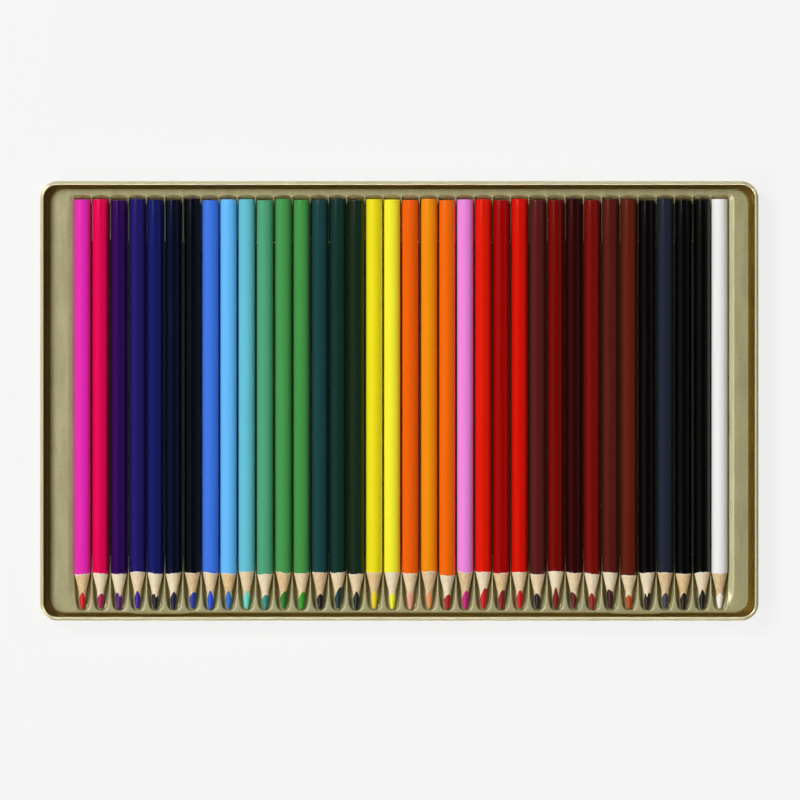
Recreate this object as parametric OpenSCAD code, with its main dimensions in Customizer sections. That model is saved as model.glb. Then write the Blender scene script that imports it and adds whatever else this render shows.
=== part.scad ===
// Flat tin of coloured pencils, open, as it lies on a desk while it is used.
// A slip lid lies upturned under the tray, the tray holds a formed plastic insert,
// and the insert holds one row of round pencils. Millimetres, +Z up, +Y towards the
// pencils' blunt ends. The origin is the middle of the lid's panel, on the desk.

/* [Pencils] */
// Diameter of a lacquered pencil
pencil_d = 6.9; // [6.6:0.05:7.1]
// Length of a sharpened pencil
pencil_l = 174.2; // [168:0.1:178]
// Diameter of the coloured core
core_d = 2.8; // [2.2:0.1:3.4]
// Width of the glue line between core and casing
glue_t = 0.03; // [0.02:0.01:0.05]
// Length of the sharpened wood, from the lacquer's edge to the core
wood_l = 9.7; // [8:0.1:12]
// Length of the bare core that keeps its full diameter
core_bare_l = 1.3; // [0.8:0.1:2]
// Length of the core's tapered point
point_l = 4.4; // [3:0.1:6]
// Diameter of the core's worn end
point_d = 1.6; // [1:0.1:2]
// Radius of the rounding on the core's worn end
point_round = 0.4; // [0.2:0.05:0.45]
// Most that a pencil lies off its mean place, along its pocket
creep = 0.3; // [0:0.05:0.35]

/* [Insert] */
// Distance between the pockets' centres
pitch = 7.75; // [7.7:0.05:8]
// Distance of the row's middle from the insert's middle
row_shift = 0.9; // [0:0.1:1.5]
// Thickness of the formed sheet
insert_t = 0.5; // [0.4:0.05:0.6]
// Clearance all round a pencil in its pocket
play = 0.25; // [0.15:0.05:0.3]
// Gap between the pockets' undersides and the tray's floor
standoff = 0.5; // [0.3:0.1:1]
// Height of the land above the pencils' axes
land_rise = 1.2; // [1:0.1:2.5]
// Width of the land beside the row
side_land = 7.2; // [5:0.1:10]
// Width from an outer pocket's centre to the top of the slope beside it
side_run = 5.9; // [5:0.1:7]
// Width of the land behind the blunt ends
head_land = 2.5; // [2:0.1:5]
// Depth of the scallop behind each blunt end
scallop = 1.2; // [0.8:0.1:1.5]
// Length of the slope from a pocket's end wall up to the middle of its scallop
head_slope = 1.6; // [1.6:0.1:2.5]
// Depth of the foot of that slope below the pencils' axes
head_drop = 1; // [0.5:0.1:1.5]
// Gap between the blunt ends and the pockets' end walls
head_gap = 0.5; // [0.4:0.05:1]
// Gap between the points and the pockets' ends
tip_gap = 0.65; // [0.4:0.05:1.5]
// Width of the land before the points
tip_land = 1.05; // [0.8:0.05:3]
// Radius of the pockets' narrow ends
nose_r = 2.7; // [2.4:0.1:3.2]
// Length over which a pocket narrows to that radius
nose_l = 4.5; // [3:0.1:7]
// Length of the land's tongues between the blunt ends
tongue_l = 2.7; // [1:0.1:5]
// Length of the upper ridges that follow the tongues
ridge_l = 15.9; // [8:0.1:25]
// Depth of the upper ridges below the pencils' axes
ridge_drop = 0.3; // [0:0.1:0.9]
// Depth of the ridges between them and the tip ridges below the pencils' axes
low_ridge_drop = 2.4; // [1.2:0.1:2.8]
// Distance from the points to the foot of the ridges that slope up to the land between them
tip_ridge_l = 22.6; // [15:0.1:35]
// Depth of the foot of these ridges below the pencils' axes
tip_ridge_drop = 0.9; // [0:0.1:0.9]
// Distance from the points to the place where these ridges reach the land
tip_flat_l = 5.9; // [4:0.1:8]
// Radius of the insert's corners, seen from above
insert_corner_r = 6.5; // [4:0.1:9]
// Distance that the skirt leans out, from the land to its foot
skirt_run = 0.9; // [0.4:0.1:0.9]
// Distance of a locating lug from the insert's middle
lug_x = 101; // [60:1:120]
// Length of a locating lug
lug_l = 21.7; // [15:0.1:30]
// Distance that a lug stands out of the insert's edge
lug_out = 0.5; // [0.3:0.1:0.8]
// Height of a lug
lug_h = 1.4; // [1:0.1:2]

/* [Tray] */
// Gap between the insert's land and the tray's wall at the sides
side_gap = 2.95; // [2.6:0.05:4]
// Gap between the insert's land and the tray's wall at both ends of the pencils
end_gap = 2.2; // [2.2:0.05:4]
// Height of the tray's rim above the insert's land
rim_rise = 6.65; // [5:0.05:8]
// Thickness of the tinplate
sheet_t = 0.28; // [0.2:0.02:0.32]
// Outside diameter of the curled rim
rim_d = 1; // [0.8:0.05:1.4]
// Outer radius of the tray's corners, seen from above
tray_corner_r = 6.8; // [5:0.1:9]
// Outer radius of the bend between a floor and its wall
bend_r = 1.5; // [1:0.1:1.6]

/* [Lid] */
// Depth of the lid over all
lid_h = 10; // [7:0.1:11]
// Clearance between the lid's hem and the tray's wall
slip_gap = 0.2; // [0.1:0.05:0.4]
// Height of the hem that is folded in at the lid's mouth
hem_h = 2; // [1.2:0.1:3]

/* [Hidden] */
$fn = 48;
gold = "#b5ae79";
formed_gold = "#a9a57c";
bare_wood = "#ecd3a4";

// Name, lacquer, core, and the share of its play by which the pencil lies right of its pocket's middle
PENCILS = [
    ["hot_pink", "#ee36b8", "#d0101c", -0.6],
    ["crimson", "#e20352", "#a80a50", -0.8],
    ["purple", "#3c0a5c", "#55086a", -0.5],
    ["violet_blue", "#2d2470", "#34108f", 0.3],
    ["navy", "#1a2066", "#08081c", -0.8],
    ["dark_navy", "#101a34", "#0a0a3a", -0.8],
    ["blue_black", "#14161f", "#1438a8", 0.8],
    ["blue", "#3f78e4", "#1a4fd8", 0.4],
    ["light_blue", "#68bdfb", "#2e74c8", 0.1],
    ["turquoise", "#66c2d2", "#66dccc", 0],
    ["sea_green", "#52aa80", "#2f8f88", 0.2],
    ["green", "#479d4f", "#157a1c", 0.5],
    ["leaf_green", "#4aa04c", "#2f9a1c", 0.7],
    ["dark_teal", "#0f3d44", "#0c0410", 0.8],
    ["dark_green", "#06352c", "#06343c", 0.4],
    ["black_green", "#0f2a1c", "#061f10", 0.6],
    ["yellow", "#f2e21c", "#ead41a", 0.2],
    ["light_yellow", "#f6ef34", "#f6ef30", -0.1],
    ["vermilion", "#ef6004", "#e8a084", -0.4],
    ["light_orange", "#f28a0a", "#e89a5c", 0.8],
    ["orange", "#f26a06", "#b00808", 0.6],
    ["light_pink", "#ee8ae0", "#c8187c", 0.1],
    ["red", "#e01800", "#d00404", 0],
    ["dark_red", "#a80400", "#8c0404", -0.5],
    ["signal_red", "#d61000", "#d00404", -0.2],
    ["plum", "#4d1a1c", "#1c0c10", -0.6],
    ["ruby", "#780a02", "#780408", -0.5],
    ["maroon", "#360408", "#600408", -0.7],
    ["brick_red", "#7a1008", "#9a1408", -0.8],
    ["plum_brown", "#5c201e", "#3c0408", -0.8],
    ["brown", "#702816", "#b84808", 0],
    ["brown_black", "#0e0a0c", "#20040a", 0],
    ["slate", "#262e3c", "#3c424e", -0.3],
    ["ink_black", "#0a0a0c", "#1c0608", -0.3],
    ["black", "#080809", "#0a0608", 0.7],
    ["white", "#f2f2f0", "#f4f2ee", -0.6],
];
count = len(PENCILS);
function pencil_name(i) = str("pencil_", i < 9 ? "0" : "", i + 1, "_", PENCILS[i][0]);

// Distance that cuts run past what they cut
over = 1;
pencil_r = pencil_d / 2;
core_r = core_d / 2;
bore_r = core_r + glue_t;
wood_edge_t = 0.1;
// Angle that spreads the pencils' places along their pockets
creep_turn = 137.5;
cone_l = point_l + core_bare_l + wood_l;
pocket_r = pencil_r + play;

floor_z = 2 * sheet_t;
axis_z = floor_z + standoff + insert_t + pocket_r;
land_z = axis_z + land_rise;
rim_z = land_z + rim_rise;

insert_l = (count - 1) * pitch + 2 * (side_run + side_land);
insert_w = head_land + head_slope + head_gap + pencil_l + tip_gap + tip_land;
row_x = row_shift - (count - 1) * pitch / 2;
scallop_r = (pow(pitch / 2, 2) + pow(scallop, 2)) / (2 * scallop);
peak_y = insert_w / 2 - head_land;
cusp_y = peak_y - scallop;
scallop_y = peak_y - scallop_r;
wall_y = peak_y - head_slope;
blunt_y = wall_y - head_gap;
tip_y = blunt_y - pencil_l;
cone_y = tip_y + cone_l;
nose_y = tip_y - tip_gap + nose_r;
narrow_y = nose_y + nose_l;
tongue_y = cusp_y - tongue_l;
ridge_y = tongue_y - ridge_l;
tip_ridge_y = tip_y + tip_ridge_l;
tip_flat_y = tip_y + tip_flat_l;

tray_l = insert_l + 2 * (side_gap + sheet_t);
tray_w = insert_w + 2 * (end_gap + sheet_t);
lid_grow = slip_gap + 2 * sheet_t;

function pocket_x(i) = row_x + i * pitch;
function pencil_x(i) = pocket_x(i) + PENCILS[i][3] * play;
function pencil_y(i) = blunt_y + creep * sin(creep_turn * i);

// Turns a section, drawn with its outer face at x = r, round a rectangle l by w with corner radius r
module round_rectangle(l, w, r) {
    side_x = l / 2 - r;
    side_y = w / 2 - r;
    for (c = [[1, 1, 0], [-1, 1, 90], [-1, -1, 180], [1, -1, 270]])
        translate([c[0] * side_x, c[1] * side_y, 0])
            rotate([0, 0, c[2]]) rotate_extrude(angle = 90) children();
    for (s = [[side_x, 0, 0, 2 * side_y], [0, side_y, 90, 2 * side_x],
              [-side_x, 0, 180, 2 * side_y], [0, -side_y, 270, 2 * side_x]])
        translate([s[0], s[1], 0]) rotate([90, 0, s[2]])
            linear_extrude(height = s[3], center = true) children();
}

module round_plate(l, w, r, z, t) {
    translate([0, 0, z]) linear_extrude(height = t) {
        square([l - 2 * r, w], center = true);
        square([l, w - 2 * r], center = true);
        for (x = [-1, 1], y = [-1, 1])
            translate([x * (l / 2 - r), y * (w / 2 - r)]) circle(r = r);
    }
}

// Bend from the floor, whose underside is at z, up to the wall
module bend_section(r, z) {
    translate([r - bend_r, z + bend_r]) intersection() {
        difference() {
            circle(r = bend_r);
            circle(r = bend_r - sheet_t);
        }
        translate([0, -bend_r]) square(bend_r);
    }
}

module pan_floor(l, w, r, z) {
    round_plate(l - 2 * bend_r, w - 2 * bend_r, r - bend_r, z, sheet_t);
}

module curl_section(r) {
    translate([r - rim_d / 2, rim_z - rim_d / 2]) difference() {
        circle(r = rim_d / 2);
        circle(r = rim_d / 2 - sheet_t);
        translate([0, -rim_d]) square([rim_d / 2 - sheet_t, rim_d]);
    }
}

module lid() {
    r = tray_corner_r + lid_grow;
    l = tray_l + 2 * lid_grow;
    w = tray_w + 2 * lid_grow;
    color(gold) {
        pan_floor(l, w, r, 0);
        round_rectangle(l, w, r) {
            union() {
                bend_section(r, 0);
                translate([r - sheet_t, bend_r]) square([sheet_t, lid_h - bend_r - sheet_t]);
                translate([r - 2 * sheet_t, lid_h - hem_h]) square([2 * sheet_t, hem_h - sheet_t]);
                translate([r - sheet_t, lid_h - sheet_t]) circle(r = sheet_t);
            }
        }
    }
}

module tray() {
    wall_z = sheet_t + bend_r;
    color(gold) {
        pan_floor(tray_l, tray_w, tray_corner_r, sheet_t);
        round_rectangle(tray_l, tray_w, tray_corner_r) {
            union() {
                bend_section(tray_corner_r, sheet_t);
                translate([tray_corner_r - sheet_t, wall_z])
                    square([sheet_t, rim_z - rim_d / 2 - wall_z]);
                curl_section(tray_corner_r);
            }
        }
    }
}

// Section of a pocket, open above, grown by g
module pocket_section(g, top_z) {
    translate([0, axis_z]) circle(r = pocket_r + g);
    translate([-pocket_r - g, axis_z]) square([2 * (pocket_r + g), top_z - axis_z]);
}

// Slope from a pocket's end wall up to its scallop in the land, grown by g
module scalloped_slope(g, top_z) {
    foot_z = axis_z - head_drop - g;
    intersection() {
        translate([0, scallop_y, 0]) cylinder(r = scallop_r + g, h = top_z);
        translate([-pocket_r - g, 0, 0]) rotate([90, 0, 90])
            linear_extrude(height = 2 * (pocket_r + g))
                polygon([[wall_y - over, foot_z], [wall_y + g, foot_z], [peak_y + g, land_z - g],
                         [peak_y + g, top_z], [wall_y - over, top_z]]);
    }
}

// Space over a pocket's floor, which rises under the sharpened cone, grown by g
module over_floor(g, top_z) {
    foot_z = axis_z - pocket_r - g;
    point_z = axis_z - point_d / 2 - play - g;
    translate([-pitch, 0, 0]) rotate([90, 0, 90]) linear_extrude(height = 2 * pitch)
        polygon([[insert_w / 2, foot_z - over], [insert_w / 2, top_z], [-insert_w / 2, top_z],
                 [-insert_w / 2, point_z], [tip_y, point_z], [cone_y, foot_z], [cone_y, foot_z - over]]);
}

// Space of one pocket up to top_z, grown by g on every side: a round trough that narrows round
// the point
module pocket(g, top_z) {
    intersection() {
        over_floor(g, top_z);
        trough(g, top_z);
    }
}

module trough(g, top_z) {
    translate([0, wall_y + g, 0]) rotate([90, 0, 0])
        linear_extrude(height = wall_y + g - narrow_y) pocket_section(g, top_z);
    scalloped_slope(g, top_z);
    translate([0, narrow_y, axis_z]) rotate([90, 0, 0])
        cylinder(r1 = pocket_r + g, r2 = nose_r + g, h = nose_l);
    translate([0, nose_y, axis_z]) sphere(r = nose_r + g);
    translate([0, 0, axis_z]) linear_extrude(height = top_z - axis_z) {
        polygon([[-pocket_r - g, narrow_y], [-nose_r - g, nose_y],
                 [nose_r + g, nose_y], [pocket_r + g, narrow_y]]);
        translate([0, nose_y]) circle(r = nose_r + g);
    }
}

// Slope between an outer pocket and the land beside the row, grown by g
module side_slope(g, top_z) {
    lean = (side_run - pocket_r) / (land_z - axis_z);
    foot_run = pocket_r + g * sqrt(1 + lean * lean);
    top_run = foot_run + lean * (top_z - axis_z);
    translate([0, tongue_y, 0]) rotate([90, 0, 0])
        linear_extrude(height = tongue_y - narrow_y)
            polygon([[0, axis_z], [0, top_z], [-top_run, top_z], [-foot_run, axis_z]]);
}

module row_of_pockets(g, top_z) {
    for (i = [0 : count - 1]) translate([pocket_x(i), 0, 0]) pocket(g, top_z);
    translate([pocket_x(0), 0, 0]) side_slope(g, top_z);
    translate([pocket_x(count - 1), 0, 0]) mirror([1, 0, 0]) side_slope(g, top_z);
}

// Takes the ridges between two places along the pencils down to height z
module ridge_cut(low_y, high_y, z) {
    translate([pocket_x(0), low_y, z])
        cube([(count - 1) * pitch, high_y - low_y, land_z - z + over]);
}

// Sheet between the troughs where the ridges are low, with a web up to the ridges at both ends
module low_ridges() {
    translate([pocket_x(0), tip_ridge_y - insert_t, axis_z - low_ridge_drop - insert_t])
        cube([(count - 1) * pitch, ridge_y - tip_ridge_y + 2 * insert_t, low_ridge_drop + insert_t]);
}

// Takes the ridges between the points down to a slope that reaches the land
module tip_ridge_cut() {
    foot_z = axis_z - tip_ridge_drop;
    translate([pocket_x(0), 0, 0]) rotate([90, 0, 90])
        linear_extrude(height = (count - 1) * pitch)
            polygon([[tip_flat_y, land_z], [tip_ridge_y, foot_z],
                     [tip_ridge_y, land_z + over], [tip_flat_y, land_z + over]]);
}

module skirt_section() {
    r = insert_corner_r;
    polygon([[r - insert_t, land_z], [r, land_z], [r + skirt_run, floor_z],
             [r + skirt_run - insert_t, floor_z], [r - insert_t, land_z - insert_t]]);
}

module insert() {
    color(formed_gold) {
        difference() {
            union() {
                round_plate(insert_l, insert_w, insert_corner_r, land_z - insert_t, insert_t);
                row_of_pockets(insert_t, land_z - insert_t / 2);
                low_ridges();
            }
            row_of_pockets(0, land_z + over);
            ridge_cut(ridge_y, tongue_y, axis_z - ridge_drop);
            ridge_cut(tip_ridge_y, ridge_y, axis_z - low_ridge_drop);
            tip_ridge_cut();
        }
        round_rectangle(insert_l, insert_w, insert_corner_r) skirt_section();
        for (side = [-1, 1])
            translate([side * lug_x - lug_l / 2, -insert_w / 2 - lug_out, land_z - lug_h])
                cube([lug_l, lug_out + insert_t / 2, lug_h]);
    }
}

module pencil(i) {
    translate([pencil_x(i), pencil_y(i), axis_z]) rotate([90, 0, 0]) {
        color(PENCILS[i][1])
            difference() {
                cylinder(r = pencil_r, h = pencil_l - cone_l);
                translate([0, 0, -over]) cylinder(r = bore_r, h = pencil_l);
            }
        color(bare_wood)
            translate([0, 0, pencil_l - cone_l]) difference() {
                cylinder(r1 = pencil_r, r2 = bore_r + wood_edge_t, h = wood_l);
                translate([0, 0, -over]) cylinder(r = bore_r, h = wood_l + 2 * over);
            }
        color(PENCILS[i][2]) rotate_extrude() core_outline();
    }
}

module core_outline() {
    end_r = point_d / 2;
    difference() {
        union() {
            polygon([[0, 0], [core_r, 0], [core_r, pencil_l - point_l],
                     [end_r, pencil_l - point_round], [0, pencil_l - point_round]]);
            translate([0, pencil_l - point_round])
                square([end_r - point_round, point_round]);
            translate([end_r - point_round, pencil_l - point_round]) circle(r = point_round);
        }
        translate([-pencil_r, 0]) square([pencil_r, pencil_l + over]);
    }
}

lid();
tray();
insert();
for (i = [0 : count - 1])
    pencil(i);
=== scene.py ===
import math

import bmesh
import bpy
import numpy as np
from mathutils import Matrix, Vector


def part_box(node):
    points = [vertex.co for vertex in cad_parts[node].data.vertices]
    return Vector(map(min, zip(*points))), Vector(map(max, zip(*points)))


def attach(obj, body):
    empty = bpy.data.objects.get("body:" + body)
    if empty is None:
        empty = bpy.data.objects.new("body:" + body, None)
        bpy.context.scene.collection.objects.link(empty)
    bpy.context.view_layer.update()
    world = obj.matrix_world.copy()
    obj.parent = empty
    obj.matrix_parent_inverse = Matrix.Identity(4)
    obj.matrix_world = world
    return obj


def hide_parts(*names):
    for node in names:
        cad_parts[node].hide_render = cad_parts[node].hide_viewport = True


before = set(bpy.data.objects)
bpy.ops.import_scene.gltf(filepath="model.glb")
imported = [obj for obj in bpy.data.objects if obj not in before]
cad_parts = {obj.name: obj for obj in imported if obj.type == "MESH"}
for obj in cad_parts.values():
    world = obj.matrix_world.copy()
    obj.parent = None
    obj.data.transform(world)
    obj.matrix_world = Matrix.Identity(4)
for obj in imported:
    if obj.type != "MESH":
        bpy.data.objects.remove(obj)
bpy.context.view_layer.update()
mm = 0.001
print("frame loaded:", len(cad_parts), "nodes")


def linear(hexColour):  # sRGB hex to linear, with alpha
    parts = [int(hexColour[i:i + 2], 16) / 255 for i in (1, 3, 5)]
    return [p / 12.92 if p <= 0.04045 else ((p + 0.055) / 1.055) ** 2.4 for p in parts] + [1]


def addNode(tree, kind, links=None, **settings):
    made = tree.nodes.new(kind)
    for key, value in settings.items():
        setattr(made, key, value)
    for key, value in (links or {}).items():
        if isinstance(value, bpy.types.NodeSocket):
            tree.links.new(value, made.inputs[key])
        else:
            made.inputs[key].default_value = value
    return made


def startMaterial(name, **sockets):  # a Principled shader with its plain numbers set
    material = bpy.data.materials.new(name)
    material.use_nodes = True
    tree = material.node_tree
    tree.nodes.clear()
    shader = addNode(tree, "ShaderNodeBsdfPrincipled", {k.replace("_", " "): v for k, v in sockets.items()})
    addNode(tree, "ShaderNodeOutputMaterial", {"Surface": shader.outputs["BSDF"]})
    return material, tree, shader


def patternAt(tree, scale):  # object coordinates stretched so that one unit is one pattern repeat
    place = addNode(tree, "ShaderNodeTexCoord")
    return addNode(tree, "ShaderNodeMapping", {"Vector": place.outputs["Object"], "Scale": scale}).outputs[0]


def perMm(x, y, z):  # repeats of x, y and z millimetres as a Mapping scale
    return [1 / (size * mm) for size in (x, y, z)]


def makePiece(name, verts, faces, material, body, sharp=40):
    mesh = bpy.data.meshes.new(name)
    mesh.from_pydata((np.asarray(verts) * mm).tolist(), [], faces)
    build = bmesh.new()
    build.from_mesh(mesh)
    bmesh.ops.remove_doubles(build, verts=build.verts, dist=0.002 * mm)
    bmesh.ops.dissolve_degenerate(build, edges=build.edges, dist=0.001 * mm)
    bmesh.ops.recalc_face_normals(build, faces=build.faces)
    build.to_mesh(mesh)
    build.free()
    mesh.shade_smooth()
    mesh.set_sharp_from_angle(angle=math.radians(sharp))
    piece = bpy.data.objects.new(name, mesh)
    bpy.context.scene.collection.objects.link(piece)
    mesh.materials.append(material)
    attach(piece, body)
    return piece


def gridFaces(rows, columns, start=0, loop=False):  # quads of a rows x columns grid, each row closed if loop
    index = start + np.arange(rows * columns).reshape(rows, columns)
    right = np.roll(index, -1, axis=1)
    last = columns if loop else columns - 1
    quads = np.stack([index[:-1], right[:-1], right[1:], index[1:]], axis=-1)[:, :last]
    return quads.reshape(-1, 4).tolist()


def smooth(t):
    t = np.clip(t, 0, 1)
    return t * t * (3 - 2 * t)


# Drawn tinplate under gold lacquer, made as a lit and a shaded copy: outside, thin lacquer made paler still
# as painted highlight on the bright rims; inside, deeper lacquer made darker still as painted shade for the
# brown-gold wall down in the gap
def drawnTinplate(name, dark, light):
    material, tree, shader = startMaterial(name, Metallic=0.6, Coat_Weight=0.3, Coat_Roughness=0.08)
    rolled = addNode(tree, "ShaderNodeTexNoise", {
        "Vector": patternAt(tree, perMm(60, 3, 3)),  # rolling lines, drawn coarser
        "Scale": 1.0, "Detail": 2.0})
    cloud = addNode(tree, "ShaderNodeTexNoise", {
        "Vector": patternAt(tree, perMm(18, 18, 18)), "Scale": 1.0, "Detail": 2.0})
    tint = addNode(tree, "ShaderNodeValToRGB", {"Fac": cloud.outputs["Fac"]})
    tint.color_ramp.elements[0].color = linear(dark)
    tint.color_ramp.elements[1].color = linear(light)
    dull = addNode(tree, "ShaderNodeMapRange", {
        "Value": rolled.outputs["Fac"], "To Min": 0.26, "To Max": 0.34})
    bump = addNode(tree, "ShaderNodeBump", {
        "Height": rolled.outputs["Fac"], "Strength": 0.012, "Distance": 0.02 * mm})
    tree.links.new(tint.outputs["Color"], shader.inputs["Base Color"])
    tree.links.new(dull.outputs[0], shader.inputs["Roughness"])
    tree.links.new(bump.outputs["Normal"], shader.inputs["Normal"])
    return material


# Vacuum-formed gold polystyrene: metallic pigment in a satin skin, mottled where the sheet stretched
def formedGoldSheet():
    material, tree, shader = startMaterial("formedGoldSheet", Metallic=0.35, IOR=1.55)
    stretch = addNode(tree, "ShaderNodeTexNoise", {
        "Vector": patternAt(tree, perMm(3.5, 22, 6)), "Scale": 1.0, "Detail": 4.0, "Roughness": 0.6})
    grain = addNode(tree, "ShaderNodeTexNoise", {
        "Vector": patternAt(tree, perMm(0.7, 1.1, 0.7)),  # chill marks, drawn coarser
        "Scale": 1.0, "Detail": 3.0})
    both = addNode(tree, "ShaderNodeMix", {
        "Factor": 0.4, "A": stretch.outputs["Fac"], "B": grain.outputs["Fac"]})
    tint = addNode(tree, "ShaderNodeValToRGB", {"Fac": both.outputs[0]})
    tint.color_ramp.elements[0].position = 0.3
    tint.color_ramp.elements[0].color = linear("#a9a57a")
    tint.color_ramp.elements[1].position = 0.7
    tint.color_ramp.elements[1].color = linear("#c6c093")
    dull = addNode(tree, "ShaderNodeMapRange", {"Value": both.outputs[0], "To Min": 0.32, "To Max": 0.46})
    bump = addNode(tree, "ShaderNodeBump", {
        "Height": both.outputs[0], "Strength": 0.35, "Distance": 0.08 * mm})
    tree.links.new(tint.outputs["Color"], shader.inputs["Base Color"])
    tree.links.new(dull.outputs[0], shader.inputs["Roughness"])
    tree.links.new(bump.outputs["Normal"], shader.inputs["Normal"])
    return material


# Dipped cellulose lacquer over wood: even colour, soft gloss, the wood's length just felt in it
def dippedLacquer(name, hexColour, seed):
    material, tree, shader = startMaterial(name, IOR=1.38)
    flow = addNode(tree, "ShaderNodeTexNoise", {
        "Vector": patternAt(tree, perMm(0.9, 30, 0.9)), "W": seed, "Scale": 1.0, "Detail": 3.0},
        noise_dimensions="4D")
    tint = addNode(tree, "ShaderNodeHueSaturation", {
        "Color": linear(hexColour),
        "Value": addNode(tree, "ShaderNodeMapRange", {
            "Value": flow.outputs["Fac"], "To Min": 0.93, "To Max": 1.07}).outputs[0]})
    dull = addNode(tree, "ShaderNodeMapRange", {"Value": flow.outputs["Fac"], "To Min": 0.12, "To Max": 0.2})
    bump = addNode(tree, "ShaderNodeBump", {
        "Height": flow.outputs["Fac"], "Strength": 0.25, "Distance": 0.03 * mm})
    tree.links.new(tint.outputs["Color"], shader.inputs["Base Color"])
    tree.links.new(dull.outputs[0], shader.inputs["Roughness"])
    tree.links.new(bump.outputs["Normal"], shader.inputs["Normal"])
    return material


# Wax and pigment, pressed and then cut by the sharpener: dull satin with fine rings round the point
def waxCore(name, hexColour):
    material, tree, shader = startMaterial(name, IOR=1.45)
    rings = addNode(tree, "ShaderNodeTexNoise", {
        "Vector": patternAt(tree, perMm(1.2, 0.25, 1.2)), "Scale": 1.0, "Detail": 3.0})
    tint = addNode(tree, "ShaderNodeHueSaturation", {
        "Color": linear(hexColour),
        "Value": addNode(tree, "ShaderNodeMapRange", {
            "Value": rings.outputs["Fac"], "To Min": 0.75, "To Max": 1.25}).outputs[0]})
    bump = addNode(tree, "ShaderNodeBump", {
        "Height": rings.outputs["Fac"], "Strength": 0.5, "Distance": 0.05 * mm})
    shader.inputs["Roughness"].default_value = 0.42
    tree.links.new(tint.outputs["Color"], shader.inputs["Base Color"])
    tree.links.new(bump.outputs["Normal"], shader.inputs["Normal"])
    return material


# Sharpened basswood: pale, matt, with growth lines along the pencil and small pores
def cutBasswood(name, pale, tan):
    material, tree, shader = startMaterial(name, Roughness=0.62, IOR=1.45)
    growth = addNode(tree, "ShaderNodeTexNoise", {
        "Vector": patternAt(tree, perMm(0.55, 7, 0.55)), "Scale": 1.0, "Detail": 4.0, "Roughness": 0.6})
    pores = addNode(tree, "ShaderNodeTexNoise", {
        "Vector": patternAt(tree, perMm(0.22, 0.7, 0.22)), "Scale": 1.0, "Detail": 2.0})  # drawn coarser
    both = addNode(tree, "ShaderNodeMix", {
        "Factor": 0.35, "A": growth.outputs["Fac"], "B": pores.outputs["Fac"]})
    tint = addNode(tree, "ShaderNodeValToRGB", {"Fac": both.outputs[0]})
    tint.color_ramp.elements[0].position = 0.34
    tint.color_ramp.elements[0].color = linear(tan)
    tint.color_ramp.elements[1].position = 0.62
    tint.color_ramp.elements[1].color = linear(pale)
    bump = addNode(tree, "ShaderNodeBump", {
        "Height": both.outputs[0], "Strength": 0.4, "Distance": 0.06 * mm})
    tree.links.new(tint.outputs["Color"], shader.inputs["Base Color"])
    tree.links.new(bump.outputs["Normal"], shader.inputs["Normal"])
    return material


# White ground under the lacquer, cut through: a chalky rim between lacquer and wood
def chalkGround():
    material, tree, shader = startMaterial("chalkGround", Roughness=0.7, IOR=1.45)
    chips = addNode(tree, "ShaderNodeTexNoise", {
        "Vector": patternAt(tree, perMm(0.5, 0.5, 0.5)), "Scale": 1.0})
    tint = addNode(tree, "ShaderNodeValToRGB", {"Fac": chips.outputs["Fac"]})
    tint.color_ramp.elements[0].color = linear("#ead9c0")
    tint.color_ramp.elements[1].color = linear("#fbf4e6")
    tree.links.new(tint.outputs["Color"], shader.inputs["Base Color"])
    return material


# The outside copy carries painted highlight, the inside copy painted shade for the gap along the wall
tinplate = drawnTinplate("drawnTinplate", "#ddd6ac", "#ece6c0")
insideTinplatePaintedShade = drawnTinplate("drawnTinplateInsidePaintedShade", "#cab062", "#dcc27a")
formedSheet = formedGoldSheet()
ground = chalkGround()
woods = [cutBasswood("cutBasswoodPale", "#f8ebcf", "#e6cfa4"),
         cutBasswood("cutBasswoodCream", "#f4e2c0", "#dfc08c"),
         cutBasswood("cutBasswoodTan", "#efd4a5", "#d6ae76"),
         cutBasswood("cutBasswoodPorous", "#ecd5ae", "#cfa872")]
print("materials made")

# The tin's two pans, swept from one section round a rounded rectangle
pan = {
    "sheet": 0.28,        # tinplate
    "bend": 1.5,          # bend between floor and wall
    "corner": 6.8,        # tray's corner, outside
    "innerCorner": 0.5,   # least corner of the rings on the flat floor
    "flatStart": 1.5,     # first ring on the flat floor, inwards of the bend
    "flatEnd": 12,        # last ring, inwards of the outer face
    "rim": 1.0,           # curled rim, outside diameter
    "hem": 2.0,           # folded hem at the lid's mouth
    "cornerSteps": 20,
}


def sweepRound(section, halfLength, halfWidth, radius):  # section is (inwards, up) from the outer face
    turns = np.radians(np.linspace(0, 90, pan["cornerSteps"] + 1))
    verts = []
    for inwards, height in section:
        for quarter, (signX, signY) in enumerate([(1, 1), (-1, 1), (-1, -1), (1, -1)]):
            angles = turns + quarter * math.pi / 2
            r = max(radius - inwards, pan["innerCorner"])
            for a in angles:
                verts.append((signX * (halfLength - inwards - r) + r * math.cos(a),
                              signY * (halfWidth - inwards - r) + r * math.sin(a), height))
    return verts, 4 * (pan["cornerSteps"] + 1)


def arcPoints(centre, r, fromDegrees, toDegrees, steps):
    return [(centre[0] - r * math.cos(math.radians(a)), centre[1] + r * math.sin(math.radians(a)))
            for a in np.linspace(fromDegrees, toDegrees, steps)]


def makePan(name, node, section, corner, insideFrom):  # insideFrom: first point on the inner face
    low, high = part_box(node)
    verts, count = sweepRound(section, (high.x - low.x) / 2 / mm, (high.y - low.y) / 2 / mm, corner)
    faces = gridFaces(len(section), count, loop=True)
    faces += [list(range(count))[::-1], list(range(len(verts) - count, len(verts)))]
    piece = makePiece(name, verts, faces, tinplate, node)
    piece.data.materials.append(insideTinplatePaintedShade)
    # Faces from the inner face on take the inside copy, with its painted shade
    for face in piece.data.polygons:
        if face.index >= insideFrom * count and face.index != (len(section) - 1) * count:
            face.material_index = 1
    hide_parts(node)


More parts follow.
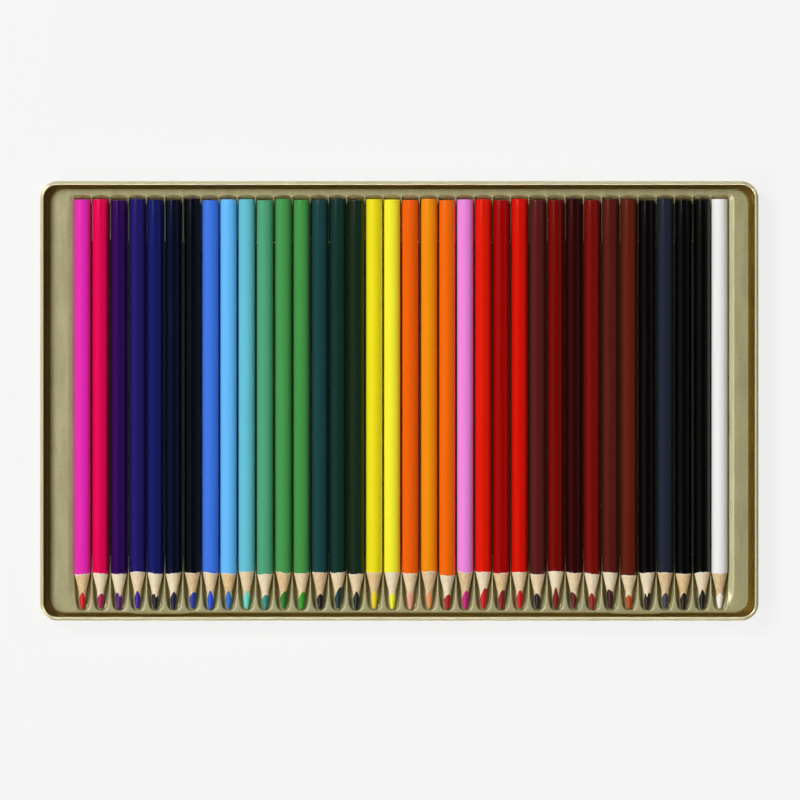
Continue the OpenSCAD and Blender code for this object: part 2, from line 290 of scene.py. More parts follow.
def floorAndWall(base, wallTop):  # both faces of floor, bend and wall, from the middle outwards and back
    t, b = pan["sheet"], pan["bend"]
    start, end = b + pan["flatStart"], pan["flatEnd"]
    outer = [(end, base), (start, base)] + arcPoints((b, base + b), b, -90, 0, 7) + [(0, wallTop)]
    inner = [(t, wallTop)] + arcPoints((b, base + b), b - t, 0, -90, 7) + [(start, base + t), (end, base + t)]
    return outer, inner


lidLow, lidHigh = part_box("lid")
trayLow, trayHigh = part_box("tray")
lidCorner = pan["corner"] + (lidHigh.x - trayHigh.x) / mm
t = pan["sheet"]
lidTop = lidHigh.z / mm
outer, inner = floorAndWall(0, lidTop - t)
fold = arcPoints((t, lidTop - t), t, 20, 160, 6)
hem = [(2 * t, lidTop - t), (2 * t, lidTop - pan["hem"] + 0.1), (2 * t - 0.1, lidTop - pan["hem"]),
       (t, lidTop - pan["hem"])]
makePan("lidPan", "lid", outer + fold + hem + inner[1:], lidCorner, len(outer + fold + hem))

rimTop = trayHigh.z / mm
rimR = pan["rim"] / 2
outer, inner = floorAndWall(trayLow.z / mm, rimTop - rimR)
curl = arcPoints((rimR, rimTop - rimR), rimR, 10, 265, 22)
curlInside = arcPoints((rimR, rimTop - rimR), rimR - t, 265, 10, 16)
makePan("trayPan", "tray", outer + curl + curlInside + inner, pan["corner"], len(outer + curl + curlInside))
print("tin pans made")

# The formed insert, one sheet; its grid of rows and columns follows the pockets' outlines
insert = {
    "pitch": 7.75,
    "rowShift": 0.9,        # middle of the row, right of the insert's middle
    "pocketR": 3.7,
    "sheet": 0.5,
    "cornerR": 6.5,
    "edgeR": 0.5,           # rounding from land to skirt
    "skirtRun": 0.9,
    "wallY": 86.15,         # the pockets' end walls
    "peakY": 87.75,         # the scallops' middles, where the slope up from the end wall reaches the land
    "headDrop": 1.0,        # foot of that slope, below the pencils' axes
    "scallopR": 6.857,
    "scallopWall": (0.05, 0.3),   # lean of a wall, then rounding at its top
    "ridgeWall": (0.04, 0.12),
    "noseWall": (0.1, 0.38),
    "coneY": -73.0,         # where the pockets start to narrow
    "narrowY": -82.0,
    "narrowR": 3.45,
    "noseY": -86.5,
    "noseR": 2.7,
    "riseY": -73.15,        # where the pockets' floor starts to rise under the sharpened cones
    "tipY": -88.55,
    "tipDrop": 1.05,        # floor under the points, below the axes
    "tongueY": 83.85,       # end of the tongues that reach from the land between the blunt ends
    "ridgeY": 67.95,        # step from the upper ridges down to the low ones
    "ridgeDrop": 0.3,       # upper ridges below the axes
    "lowRidgeDrop": 2.4,    # low ridges below the axes
    "tipRidgeY": -65.95,    # where the ridges start to slope up between the points
    "tipRidgeDrop": 0.9,    # foot of those ridges, below the axes
    "tipFlatY": -82.65,     # where they reach the land
    "slopeRun": 2.2,        # slope beside the first and the last pencil
    "slopeTopY": 85.35,
    "slopeTopRun": 2.4,
    "slopeNoseY": -80.0,
    "slopeNoseRun": 8,
    "lugX": 101.0,
    "lugL": 21.7,
    "lugOut": 0.5,
    "lugH": 1.4,
}
pencilNodes = sorted(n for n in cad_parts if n.startswith("pencil_"))
insertLow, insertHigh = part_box("insert")
landZ = insertHigh.z / mm
footZ = insertLow.z / mm
halfL = insertHigh.x / mm - insert["skirtRun"]
halfW = insertHigh.y / mm - insert["skirtRun"]
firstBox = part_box(pencilNodes[0])
axisZ = (firstBox[0].z + firstBox[1].z) / 2 / mm
pocketX = insert["rowShift"] + insert["pitch"] * (np.arange(len(pencilNodes)) - (len(pencilNodes) - 1) / 2)


def halfWidth(y, grow=0.0):  # half width of a pocket at its axis, grown by an offset, in closed form
    s = insert
    cone = smooth((s["coneY"] - y) / (s["coneY"] - s["narrowY"]))
    end = np.clip((s["narrowY"] - y) / (s["narrowY"] - s["noseY"]), 0, 1)
    taper = s["pocketR"] + (s["narrowR"] - s["pocketR"]) * cone
    taper = taper + (s["noseR"] - s["narrowR"]) * end
    past = np.maximum(s["noseY"] - y, 0)
    nose = np.sqrt(np.maximum((s["noseR"] + grow) ** 2 - past ** 2, 0))
    return np.where(past > 0, nose, taper + grow)


def wallProfile(e, foot, top, lean, rounding):  # height at e outside a wall's foot
    up = foot + (top - rounding - foot) * np.clip(e / lean, 0, 1)
    s = np.clip(e - lean, 0, rounding)
    bow = np.sqrt(np.maximum(rounding ** 2 - (rounding - s) ** 2, 0))
    return np.where(e > lean, top - rounding + bow, up)


def softMin(a, b, k):
    k = np.maximum(k, 1e-5)
    h = np.clip(k - np.abs(a - b), 0, None) / k
    return np.minimum(a, b) - h * h * k / 4


def crest(y, land):  # height of the ridges between two pencils
    s = insert
    low = axisZ - s["lowRidgeDrop"]
    up = low + (s["lowRidgeDrop"] - s["ridgeDrop"]) * smooth((y - s["ridgeY"] + 0.7) / 1.4)
    up = up + (land - up) * smooth((y - s["tongueY"] + 0.4) / 0.8)
    ramp = np.clip((s["tipRidgeY"] - y) / (s["tipRidgeY"] - s["tipFlatY"]), 0, 1)
    tip = axisZ - s["tipRidgeDrop"] + (land - axisZ + s["tipRidgeDrop"]) * ramp
    return up + (tip - up) * smooth((s["tipRidgeY"] + 0.6 - y) / 1.2)


def headHeight(y, out, grow, foot, isOuter):  # end wall, the slope behind it, and the scallop in the land
    s = insert
    land = landZ - grow
    slopeZ = axisZ - s["headDrop"] - grow
    slope = slopeZ + (y - s["wallY"] - grow) * (land - slopeZ) / (s["peakY"] - s["wallY"])
    lean, rounding = s["scallopWall"]
    centreY = s["peakY"] - s["scallopR"]
    ring = np.where(isOuter, y - centreY, np.hypot(out, y - centreY)) - s["scallopR"] - grow
    bow = np.sqrt(np.maximum(rounding ** 2 - (rounding - np.clip(ring, 0, rounding)) ** 2, 0))
    edge = land - rounding + bow
    top = np.minimum(np.where(ring > 0, np.maximum(slope, edge), slope), land)
    return foot + (top - foot) * np.clip((y - s["wallY"] - grow) / (2 * lean), 0, 1)


def insertHeight(x, y, grow=0.0):  # the sheet's upper face, or its underside at grow = sheet
    s = insert
    nearest = np.clip(np.round((x - pocketX[0]) / s["pitch"]).astype(int), 0, len(pocketX) - 1)
    dx = x - pocketX[nearest]
    land = landZ - grow
    past = np.maximum(s["noseY"] - y, 0)
    out = np.where(past > 0, np.hypot(dx, past), np.abs(dx))
    bare = np.where(past > 0, s["noseR"], halfWidth(y))
    w = bare + grow
    e = out - w
    foot = axisZ - np.sqrt(np.maximum(w ** 2 - out ** 2, 0))
    rise = np.clip((s["riseY"] - y) / (s["riseY"] - s["tipY"]), 0, 1)
    floorZ = axisZ - grow - s["pocketR"] + (s["pocketR"] - s["tipDrop"]) * rise
    foot = np.where(rise > 0, -softMin(-foot, -floorZ, 0.5 * np.clip(4 * rise, 0, 1)), foot)
    nearNose = smooth((s["coneY"] - y) / 6)
    lean = s["ridgeWall"][0] + (s["noseWall"][0] - s["ridgeWall"][0]) * nearNose
    rounding = np.minimum(s["noseWall"][1], (s["pitch"] / 2 - bare - lean) * 0.95)
    ridge = np.where(grow > 0, land, crest(y, land))
    side = np.where(e <= 0, foot, wallProfile(e, axisZ, np.maximum(ridge, axisZ + rounding), lean, rounding))
    side = softMin(side, ridge, 0.35 * np.clip((axisZ - ridge) / 0.5, 0, 1))
    isOuter = ((nearest == 0) & (dx < 0)) | ((nearest == len(pocketX) - 1) & (dx > 0))
    u = np.maximum(np.abs(dx) - halfWidth(y) - grow, 0) / s["slopeRun"]
    v = np.maximum(y - s["slopeTopY"], 0) / s["slopeTopRun"]
    v = v + np.maximum(s["slopeNoseY"] - y, 0) / s["slopeNoseRun"]
    q = np.hypot(u, v)
    q = np.where(q < 0.85, q, np.where(q > 1.15, 1.0, q - (q - 0.85) ** 2 / 0.6))
    slope = axisZ + (land - axisZ) * q
    wall = wallProfile(e, axisZ, land, lean, s["noseWall"][1])
    side = np.where(isOuter, np.where(e <= 0, foot, np.minimum(wall, slope)), side)
    head = headHeight(y, np.abs(dx), grow, side, isOuter)
    return np.where(y > s["wallY"] + grow, np.maximum(side, head), side)


def insertColumns():  # (pocket, side, offset kind, value) for each grid line that runs along the pencils
    half = [("arc", a) for a in (0, 18, 36, 54, 66, 76, 84, 90)] + [("wall", f) for f in (0.0, 0.35, 1.0)]
    columns = []
    for i in range(len(pocketX)):
        left = [(i, -1, kind, value) for kind, value in half[:0:-1]]
        right = [(i, 1, kind, value) for kind, value in half]
        columns += left + right + ([(i, 1, "middle", 0)] if i < len(pocketX) - 1 else [])
    return columns


def columnX(columns, y):  # x of every column at the heights y, an array over columns
    s = insert
    nearNose = smooth((s["coneY"] - y) / 6)
    lean = s["ridgeWall"][0] + (s["noseWall"][0] - s["ridgeWall"][0]) * nearNose
    base = np.where(y < s["noseY"], s["noseR"], halfWidth(y))
    rounding = np.minimum(s["noseWall"][1], (s["pitch"] / 2 - base - lean) * 0.95)
    x = np.empty(len(columns))
    for k, (i, sign, kind, value) in enumerate(columns):
        if kind == "arc":
            out = max(float(halfWidth(y[k])), 0.03) * math.sin(math.radians(value))
        elif kind == "wall":
            offset = lean[k] + value * rounding[k]
            out = max(float(halfWidth(y[k], offset)), 0.04 + 0.02 * value)
        else:
            out = s["pitch"] / 2
        x[k] = pocketX[i] + sign * out
    return x


def insertRows(dx, outer):  # list of y arrays, one per row, for columns at distance dx from their pockets
    s = insert
    lean, rounding = s["scallopWall"]
    edge = halfW - s["edgeR"]
    flat = np.ones_like(dx)
    centreY = s["peakY"] - s["scallopR"]
    across = np.minimum(dx, s["pitch"] / 2)

    def arcY(offset):
        r = s["scallopR"] + offset
        return centreY + np.where(outer, r, np.sqrt(r ** 2 - across ** 2))

    rows = [flat * edge, flat * (edge - 0.6)]
    rows += [arcY(rounding * f) for f in (1, 0.7, 0.4, 0.2, 0.07, 0)]
    wallTop = s["wallY"] + 2 * lean
    rows += [wallTop + (arcY(0) - wallTop) * f for f in (0.97, 0.8, 0.6, 0.4, 0.2, 0)]
    straight = [s["wallY"] + lean, s["wallY"], 85.9, 85.5, 85, 84.6]
    straight += list(s["tongueY"] + np.linspace(0.45, -0.45, 8))
    straight += [83, 82, 80, 76, 71.5]
    straight += list(s["ridgeY"] + np.linspace(0.8, -0.8, 8))
    straight += [62, 40, 15, -10, -35, -55, -62]
    straight += list(s["tipRidgeY"] + np.linspace(0.7, -0.7, 8))
    straight += [-69.5, -71.5, -73, -74.5, -76, -77.5, -79, -80.5, -82, -82.65, -83.5, -84.5, -85.5, -86.5]
    straight += list(s["noseY"] - s["noseR"] * np.sin(np.radians([10, 20, 30, 40, 50, 58, 66, 74, 81, 86])))
    lean, rounding = s["noseWall"]
    straight += list(s["noseY"] - s["noseR"] - np.array([0, 0.5 * lean, lean, lean + 0.12 * rounding,
                                                         lean + 0.35 * rounding, lean + 0.65 * rounding,
                                                         lean + rounding]))
    straight.append(-edge)
    return rows + [flat * y for y in straight]


def insertGrid():
    s = insert
    columns = insertColumns()
    outwards = s["noseWall"][1] + np.array([0.1, 0.25, 0.5, 0.8, 1.1, 1.4, 1.65, 1.85, 2.05, 2.25, 2.5])
    cornerX = halfL - s["cornerR"]
    cornerRun = s["cornerR"] - s["edgeR"]
    sideX = []
    for k, sign in ((0, -1), (-1, 1)):
        slope = pocketX[k] + sign * (s["pocketR"] + outwards)
        start = max(abs(slope[-1]) + 0.3, cornerX)
        turns = np.linspace(math.asin((start - cornerX) / cornerRun), math.pi / 2, 14)
        sideX.append(np.concatenate([slope, sign * (cornerX + cornerRun * np.sin(turns))]))
    squeezes = [np.sqrt(1 - np.clip((np.abs(x) - cornerX) / cornerRun, 0, 1) ** 2) for x in sideX]
    signs = np.array([c[1] for c in columns])
    rest = np.array([s["pocketR"] * math.sin(math.radians(value)) if kind == "arc" else
                     s["pocketR"] + 0.05 if kind == "wall" else s["pitch"] / 2
                     for _, _, kind, value in columns])
    pocketOf = np.array([c[0] for c in columns])
    outer = ((pocketOf == 0) & (signs < 0)) | ((pocketOf == len(pocketX) - 1) & (signs > 0) & (rest > 0))
    rows = insertRows(rest, outer)
    limit = halfW - s["cornerR"]
    xs, ys = [], []
    sideRows = [np.array([row[0] for row in insertRows(np.zeros(1), np.ones(1, bool))])] * 2
    for k, middle in enumerate(rows):
        sideY = []
        for side in (0, 1):
            y = sideRows[side][k]
            sideY.append(np.sign(y) * (limit + (abs(y) - limit) * squeezes[side]) if abs(y) > limit else
                         np.full(len(squeezes[side]), y))
        xs.append(np.concatenate([sideX[0][::-1], columnX(columns, middle), sideX[1]]))
        ys.append(np.concatenate([sideY[0][::-1], middle, sideY[1]]))
    return np.array(xs), np.array(ys)


def skirtRings():  # (outwards from the edge's start, height, lug share, corner step share) to the foot
    r, run = insert["edgeR"], insert["skirtRun"]
    rings = [(r * math.sin(a), landZ - r * (1 - math.cos(a)), 1, 0) for a in np.radians([22, 45, 67, 90])]
    rings += [(r + 0.03, landZ - 1.0, 1, 0.1), (r + 0.04, landZ - 1.15, 1, 0.9),
              (r + 0.04, landZ - 1.22, 1, 1), (r + 0.05, landZ - insert["lugH"], 0.9, 1),
              (r + 0.06, landZ - insert["lugH"] - 0.1, 0, 1),
              (r + 0.25, landZ - 3.2, 0, 0.9), (r + run - 0.08, footZ + 1.0, 0, 0),
              (r + run, footZ + 0.1, 0, 0), (r + run, footZ, 0, 0)]
    return rings


def makeInsert():
    s = insert
    gridX, gridY = insertGrid()
    rows, columns = gridX.shape
    upper = insertHeight(gridX, gridY)
    under = np.minimum(insertHeight(gridX, gridY, s["sheet"]), upper - 0.3)
    index = np.arange(rows * columns).reshape(rows, columns)
    edge = np.concatenate([index[0, :-1], index[:-1, -1], index[-1, :0:-1], index[:0:-1, 0]])
    core = np.array([halfL - s["cornerR"], halfW - s["cornerR"]])
    flat = np.stack([gridX.ravel()[edge], gridY.ravel()[edge]], axis=1)
    normal = flat - np.clip(flat, -core, core)
    normal /= np.maximum(np.linalg.norm(normal, axis=1, keepdims=True), 1e-6)
    corner = 0.45 * np.clip(5 * np.abs(normal[:, 0] * normal[:, 1]), 0, 1)  # step in the corners' skirt
    reach = np.abs(np.abs(flat[:, 0]) - s["lugX"]) - s["lugL"] / 2
    lug = s["lugOut"] * smooth(0.5 - reach / 0.8) * (normal[:, 1] < -0.99)
    faces = gridFaces(rows, columns)
    verts = [np.stack([gridX.ravel(), gridY.ravel(), upper.ravel()], axis=1),
             np.stack([gridX.ravel(), gridY.ravel(), under.ravel()], axis=1)]
    faces += [f[::-1] for f in gridFaces(rows, columns, start=rows * columns)]
    start = 2 * rows * columns
    joins = []
    for layer, inset in ((0, 0.0), (1, s["sheet"])):
        previous = edge + layer * rows * columns
        for outwards, height, share, step in skirtRings()[3 * layer:]:
            reach = np.minimum(outwards + lug * share + corner * step, s["edgeR"] + s["skirtRun"])
            at = flat + normal * (reach[:, None] - inset)
            verts.append(np.column_stack([at, np.full(len(at), min(height, landZ - inset))]))
            ring = start + np.arange(len(edge))
            start += len(edge)
            quads = np.stack([previous, ring, np.roll(ring, -1), np.roll(previous, -1)], axis=1)
            faces += (quads[:, ::-1] if layer else quads).tolist()
            previous = ring
        joins.append(previous)
    faces += np.stack([joins[0], joins[1], np.roll(joins[1], -1), np.roll(joins[0], -1)], axis=1).tolist()
    piece = makePiece("formedInsert", np.concatenate(verts), faces, formedSheet, "insert",
                      sharp=60)
    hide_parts("insert")
    print("insert made:", len(piece.data.polygons), "faces")


makeInsert()

# Pencils, by the colour's name in the node: lacquer, core, wood (0 palest to 3 porous), how far the
# lacquer's edge lies from its mean place, and the core's top: where its peak leans, how much higher
# it is than usual, and the depth of a wooden notch in it; lengths in millimetres
pencilLooks = {
    "hot_pink": ("#e82cb4", "#d0101c", 2, -0.4, 0.0, 0.0, 0),
    "crimson": ("#e20352", "#a80a50", 0, -0.4, 0.3, -0.7, 0),
    "purple": ("#2e0552", "#55086a", 0, 0.0, -0.4, 0.1, 1.8),
    "violet_blue": ("#201866", "#34108f", 1, 0.1, 0.0, 0.4, 0),
    "navy": ("#141a60", "#08081c", 0, -0.1, -0.4, -0.7, 1.5),
    "dark_navy": ("#050b24", "#0a0a3a", 0, 0.1, 0.2, 0.3, 0),
    "blue_black": ("#030610", "#1438a8", 3, 0.0, 0.5, -0.2, 0),
    "blue": ("#3f78e4", "#1a4fd8", 1, 0.3, 0.0, 1.0, 0),
    "light_blue": ("#68bdfb", "#2e74c8", 2, -0.5, 0.0, 0.5, 0),
    "turquoise": ("#66c2d2", "#66dccc", 1, 0.6, 0.0, 0.6, 0),
    "sea_green": ("#50a47c", "#2f8f88", 0, -0.2, 0.3, -0.8, 0),
    "green": ("#479850", "#157a1c", 2, 0.0, 0.6, 0.1, 0),
    "leaf_green": ("#459449", "#2f9a1c", 1, 0.1, 0.5, 0.3, 0),
    "dark_teal": ("#1a4144", "#0c0410", 3, 0.2, 0.2, -0.6, 0),
    "dark_green": ("#0f342b", "#06343c", 1, 0.1, 0.8, 1.9, 0),
    "black_green": ("#172b1a", "#061f10", 1, 0.0, 0.1, 0.6, 0),
    "yellow": ("#f2e21c", "#ead41a", 2, 0.0, 0.0, 0.6, 0),
    "light_yellow": ("#f6ef34", "#f6ef30", 0, 0.0, 0.0, -0.2, 0),
    "vermilion": ("#ef6004", "#e8a084", 1, 0.1, 0.0, 0.6, 0),
    "light_orange": ("#f48f08", "#e89a5c", 3, 0.1, 0.0, 0.1, 0),
    "orange": ("#f26a06", "#b00808", 0, -0.8, 0.4, -0.7, 0),
    "light_pink": ("#ee8ae0", "#c8187c", 3, 0.5, 0.4, 0.6, 0),
    "red": ("#e01800", "#d00404", 0, 0.3, 0.6, 1.5, 0),
    "dark_red": ("#a00200", "#8c0404", 2, 0.3, 0.5, 1.2, 0),
    "signal_red": ("#d61000", "#d00404", 1, 0.0, 0.2, 0.6, 0),
    "plum": ("#561b19", "#1c0c10", 1, -0.3, -0.2, -0.3, 0),
    "ruby": ("#720601", "#780408", 0, 0.7, 0.0, 2.1, 0),
    "maroon": ("#300205", "#600408", 1, -0.2, -0.5, -0.2, 0),
    "brick_red": ("#760b03", "#9a1408", 0, 0.0, -0.1, 0.0, 0),
    "plum_brown": ("#581910", "#3c0408", 0, 0.0, -0.5, 1.0, 0.7),
    "brown": ("#601d0a", "#b84808", 1, -1.2, 0.0, -1.2, 0),
    "brown_black": ("#060203", "#20040a", 0, 0.5, 0.7, 0.0, 1.8),
    "slate": ("#212733", "#3c424e", 3, -0.2, 0.1, -0.5, 0),
    "ink_black": ("#030303", "#1c0608", 2, -0.1, 0.2, 0.0, 0),
    "black": ("#030303", "#0a0608", 0, 0.0, 0.1, 1.1, 0),
    "white": ("#f2f2f0", "#f4f2ee", 3, -0.2, 0.1, -0.5, 0),
}
pencil = {
    "lacquer": 0.07,        # thickness, drawn thick
    "coreR": 1.4,
    "coneL": 15.4,          # from the lacquer's edge to the point
    "woodL": 8.3,           # along which the wood tapers to the core
    "featherL": 2.75,       # along which thin wood still covers the core's sides
    "topShape": 1.7,        # 1 gives the core a sharp peak, 2 a round one
    "pointL": 4.4,
    "pointR": 0.8,
    "pointRound": 0.4,
    "groundW": 0.32,        # chalk ground that shows under the lacquer's edge
    "sides": 56,
}


def lathe(x, z, rings):  # closed skin of rings (y, r), each a number or an array over the angle; 0 is the top
    theta = np.linspace(0, 2 * math.pi, pencil["sides"], endpoint=False)
    verts = []
    for y, r in rings:
        r = np.broadcast_to(r, theta.shape)
        along = np.broadcast_to(y, theta.shape)
        verts.append(np.stack([x + r * np.sin(theta), along, z + r * np.cos(theta)], axis=1))
    return np.concatenate(verts)


def loopFaces(count):  # rings joined into a closed tube, the last ring to the first
    n = pencil["sides"]
    faces = gridFaces(count, n, loop=True)
    last = (count - 1) * n
    return faces + [[last + k, last + (k + 1) % n, (k + 1) % n, k] for k in range(n)]


def makePencil(i, node):
    p = pencil
    draw = np.random.default_rng(41 + i)
    name = node.split("_", 2)[2]
    lacquerHex, coreHex, wood, edge, lean, peak, notch = pencilLooks[name]
    low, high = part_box(node)
    x, z = (low.x + high.x) / 2 / mm, (low.z + high.z) / 2 / mm
    R = (high.x - low.x) / 2 / mm
    blunt, point = high.y / mm, low.y / mm
    theta = np.linspace(0, 2 * math.pi, p["sides"], endpoint=False)
    phases = draw.uniform(0, 2 * math.pi, 4)
    swing = [draw.uniform(*limits) for limits in ((0.05, 0.3), (0.05, 0.25), (0.05, 0.12), (0.03, 0.07))]
    edgeY = point + p["coneL"] + edge + sum(
        a * np.sin(k * theta + f) for a, k, f in zip(swing, (1, 2, 5, 11), phases))
    neckY = point + p["coneL"] - p["woodL"]
    across = np.sin(theta)
    fall = (np.abs(across - lean) / (1 + abs(lean))) ** p["topShape"]
    if notch:
        fall = np.abs(across - 0.2 * lean) ** 6 * 0.6
    coreY = neckY + peak - (p["featherL"] + peak) * fall
    coreY -= notch * np.exp(-((across - 0.2 + 0.35 * lean) / 0.25) ** 2)
    coreY += 0.05 * np.sin(5 * theta + phases[1])

    lacquerRings = [(blunt, R - 0.11), (blunt - 0.02, R - 0.05), (blunt - 0.08, R - 0.012), (blunt - 0.2, R)]
    lacquerRings += [(blunt + (edgeY - blunt) * f, R) for f in (0.1, 0.3, 0.5, 0.7, 0.9, 0.985)]
    lacquerRings += [(edgeY + 0.14, R), (edgeY + 0.04, R - 0.012), (edgeY, R - 0.045),
                     (edgeY, R - p["lacquer"] - 0.03), (blunt, R - p["lacquer"] - 0.05)]
    skin = makePiece(node + "_lacquer", lathe(x, z, lacquerRings), loopFaces(len(lacquerRings)),
                     dippedLacquer(name + "Lacquer", lacquerHex, i * 3.7), node)
    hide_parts(node)

    under = R - p["lacquer"]
    groundW = p["groundW"] * (1 + 0.5 * np.sin(3 * theta + phases[2]) * np.sin(theta + phases[3]))
    groundY = edgeY - groundW
    coneEnd = np.maximum(neckY, coreY + 0.1)
    thin = p["coreR"] + 0.045
    woodRings = [(blunt - 0.01, under - 0.04), (edgeY + 0.3, under - 0.04), (edgeY + 0.02, under - 0.01),
                 (edgeY - 0.08, under - 0.02), (groundY, under - 0.05 - groundW * 0.16)]
    topR = under - 0.05 - groundW * 0.16
    endR = thin + (coneEnd - neckY) * (under - thin) / p["woodL"]
    for f in (0.04, 0.12, 0.25, 0.4, 0.55, 0.7, 0.85, 0.95, 1):
        chatter = 0.012 * np.sin(7 * theta + phases[0] + 9 * f) * math.sin(math.pi * f)
        woodRings.append((groundY + (coneEnd - groundY) * f, topR + (endR - topR) * f + chatter))
    for f in (0.35, 0.7, 1):
        woodRings.append((coneEnd + (coreY - coneEnd) * f, endR + (p["coreR"] + 0.012 - endR) * f))
    woodRings += [(coreY + 0.05, p["coreR"] - 0.08), (blunt - 0.01, p["coreR"] - 0.02)]
    casing = makePiece(node + "_wood", lathe(x, z, woodRings), loopFaces(len(woodRings)), woods[wood], node,
                       sharp=70)
    casing.data.materials.append(ground)
    low2 = (groundY.max() + 0.001) * mm
    for face in casing.data.polygons:
        c = face.center
        angle = math.atan2(c.x - x * mm, c.z - z * mm) % (2 * math.pi)
        k = int(round(angle / (2 * math.pi) * p["sides"])) % p["sides"]
        away = math.hypot(c.x - x * mm, c.z - z * mm)
        if groundY[k] * mm < c.y < (edgeY[k] + 0.2) * mm and away > (under - 0.3) * mm:
            face.material_index = 1

    tipR = p["pointR"] * draw.uniform(0.85, 1.0)
    shoulderY = point + p["pointL"]
    coreRings = [(blunt - 0.03, 0.35), (blunt - 0.03, p["coreR"] - 0.06), (blunt - 0.08, p["coreR"] - 0.02),
                 (neckY + 2, p["coreR"] - 0.02), (neckY + 0.8, p["coreR"]),
                 (shoulderY + 0.6, p["coreR"] - 0.005)]
    end = point + p["pointRound"]
    for f in (0, 0.12, 0.25, 0.4, 0.55, 0.7, 0.85, 1):
        bow = 0.05 * math.sin(math.pi * f)
        coreRings.append((shoulderY + (end - shoulderY) * f, p["coreR"] + (tipR - p["coreR"]) * f + bow))
    for a in np.radians([25, 50, 75, 90]):
        uneven = 1 + 0.1 * np.sin(2 * theta + phases[2])
        coreRings.append((end - p["pointRound"] * math.sin(a),
                          tipR - p["pointRound"] * (1 - math.cos(a)) * uneven))
    coreRings.append((point, 0.1))
    verts = lathe(x, z, coreRings)
    n = p["sides"]
    faces = gridFaces(len(coreRings), n, loop=True)
    faces += [list(range(n))[::-1], list(range(len(verts) - n, len(verts)))]
    makePiece(node + "_core", verts, faces, waxCore(name + "Core", coreHex), node)


for number, node in enumerate(pencilNodes):
    makePencil(number, node)
print("pencils made:", len(pencilNodes))

# Floor, soft light and camera, as in a product photograph from straight above
studio = {
    "floorHex": "#f6f6f6",
    "paperHex": "#f6f6f6",      # what the camera sees of the unshaded floor
    "paperShare": 0.88,
    "ceilingHex": "#3a3a3a",    # dark ceiling over the camera
    "ceilingFrom": 0.4,         # sine of the height at which the walls start to darken towards it
    "ceilingFull": 0.85,
    "wallHex": "#808080",       # grey walls all round
    "lamps": [                  # name, place and size in m, power in W
        ("keySoftbox", (-2.1, 1.45, 3.15), (1.2, 1.2), 94),
        ("lowSoftbox", (-2.1, -1.4, 3.15), (1.2, 1.2), 56),
        ("rightSoftbox", (2.6, 1.5, 2.7), (1.2, 1.2), 24),
        ("farStrip", (0.0, 3.8, 0.36), (2.0, 0.5), 30),
        ("nearStrip", (0.0, -3.8, 0.36), (2.0, 0.5), 46),
    ],
    "lens": 264.2,              # mm, on a sensor 36 mm wide
    "cameraUp": 2.5,            # m above the pencils' axes
    "aim": (0.32, 0.38),        # mm, what the picture's middle looks at
}


# Matt white background paper: even, and pale enough that only the tin's own shadow shows
def backgroundPaper():
    material, tree, shader = startMaterial("backgroundPaper", Roughness=0.9)
    shader.inputs["Base Color"].default_value = linear(studio["floorHex"])
    glow = addNode(tree, "ShaderNodeEmission", {"Color": linear(studio["paperHex"]), "Strength": 1.0})
    path = addNode(tree, "ShaderNodeLightPath")
    seen = addNode(tree, "ShaderNodeMath", {
        0: path.outputs["Is Camera Ray"], 1: path.outputs["Is Glossy Ray"]}, operation="MAXIMUM")
    seen = addNode(tree, "ShaderNodeMath", {
        0: seen.outputs[0], 1: path.outputs["Is Transmission Ray"]}, operation="MAXIMUM")
    share = addNode(tree, "ShaderNodeMath", {
        0: seen.outputs[0], 1: studio["paperShare"]}, operation="MULTIPLY")
    mixed = addNode(tree, "ShaderNodeMixShader", {
        "Fac": share.outputs[0], 1: shader.outputs["BSDF"], 2: glow.outputs["Emission"]})
    output = next(n for n in tree.nodes if n.type == "OUTPUT_MATERIAL")
    tree.links.new(mixed.outputs[0], output.inputs["Surface"])
    return material


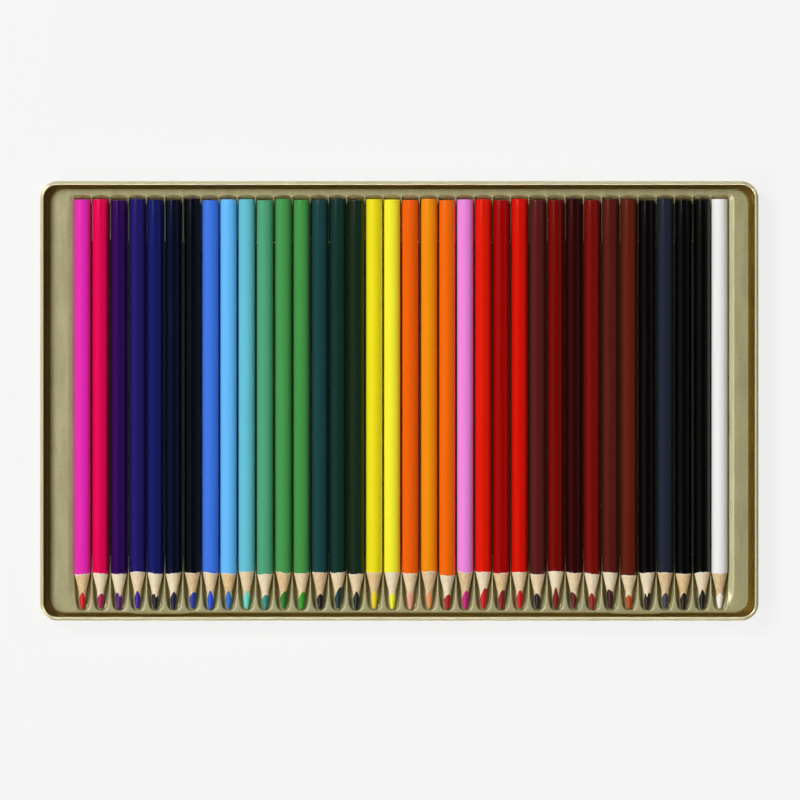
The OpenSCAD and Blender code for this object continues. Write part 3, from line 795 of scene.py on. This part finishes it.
floorMesh = bpy.data.meshes.new("paperFloor")
steps = np.linspace(-6, 6, 5)
floorMesh.from_pydata([(x, y, -0.02 * mm) for y in steps for x in steps], [], gridFaces(5, 5))
paperFloor = bpy.data.objects.new("paperFloor", floorMesh)
bpy.context.scene.collection.objects.link(paperFloor)
floorMesh.materials.append(backgroundPaper())

world = bpy.data.worlds.new("softStudio")
bpy.context.scene.world = world
world.use_nodes = True
tree = world.node_tree
tree.nodes.clear()
path = addNode(tree, "ShaderNodeLightPath")
place = addNode(tree, "ShaderNodeTexCoord")
up = addNode(tree, "ShaderNodeSeparateXYZ", {"Vector": place.outputs["Generated"]})
high = addNode(tree, "ShaderNodeMapRange", {
    "Value": up.outputs["Z"], "From Min": studio["ceilingFrom"], "From Max": studio["ceilingFull"]})
room = addNode(tree, "ShaderNodeMix", {
    0: high.outputs[0], 6: linear(studio["wallHex"]), 7: linear(studio["ceilingHex"])}, data_type="RGBA")
soft = addNode(tree, "ShaderNodeBackground", {"Color": room.outputs[2], "Strength": 1.0})
paper = addNode(tree, "ShaderNodeBackground", {"Color": linear(studio["paperHex"]), "Strength": 1.0})
mixed = addNode(tree, "ShaderNodeMixShader", {
    "Fac": path.outputs["Is Camera Ray"], 1: soft.outputs[0], 2: paper.outputs[0]})
addNode(tree, "ShaderNodeOutputWorld", {"Surface": mixed.outputs[0]})

for lampName, lampPlace, lampSize, watts in studio["lamps"]:
    lampData = bpy.data.lights.new(lampName, "AREA")
    lampData.shape = "RECTANGLE"
    lampData.size, lampData.size_y = lampSize
    lampData.energy = watts
    lamp = bpy.data.objects.new(lampName, lampData)
    bpy.context.scene.collection.objects.link(lamp)
    lamp.location = lampPlace
    lamp.rotation_euler = (-Vector(lampPlace)).to_track_quat("-Z", "Y").to_euler()

cameraData = bpy.data.cameras.new("overheadCamera")
cameraData.lens = studio["lens"]
cameraData.sensor_width = 36
cameraData.clip_end = 50
camera = bpy.data.objects.new("overheadCamera", cameraData)
bpy.context.scene.collection.objects.link(camera)
camera.location = (studio["aim"][0] * mm, studio["aim"][1] * mm, studio["cameraUp"] + axisZ * mm)
bpy.context.scene.camera = camera
bpy.context.scene.view_settings.view_transform = "Standard"
print("studio made")
